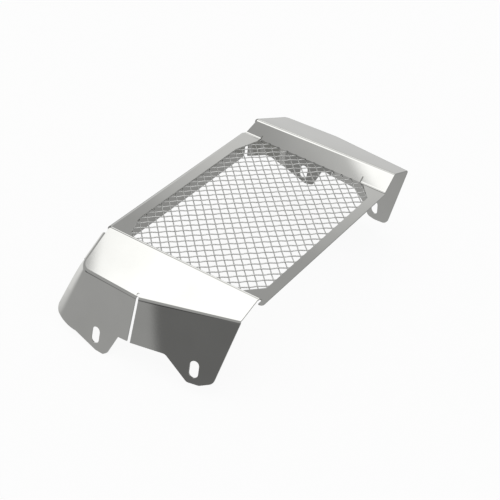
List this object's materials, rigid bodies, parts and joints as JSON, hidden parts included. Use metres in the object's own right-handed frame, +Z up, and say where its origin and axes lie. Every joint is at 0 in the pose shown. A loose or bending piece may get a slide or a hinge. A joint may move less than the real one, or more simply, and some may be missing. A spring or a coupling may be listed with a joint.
{
  "type": "radiator guard",
  "caption": "Folded stainless sheet guard for a motorcycle radiator, with a window of woven wire mesh, a hood along its far end and slotted fixing tabs at both ends",
  "frame": {"origin": "middle of the bounding box, at its bottom, where the tips of the four tabs stand", "axes": "X across the guard to the right, Y from the end with the wide chin to the end with the hood, Z up out of the face that the mesh window is in"},
  "size_m": [0.199, 0.3566, 0.1075],
  "materials": {
    "sheet": "bright annealed stainless sheet, close to a mirror, edges left as cut",
    "mesh": "plain woven stainless wire"
  },
  "bodies": {
    "root": {"guard_sheet": "sheet", "wire_mesh": "mesh"}
  },
  "joints": []
}
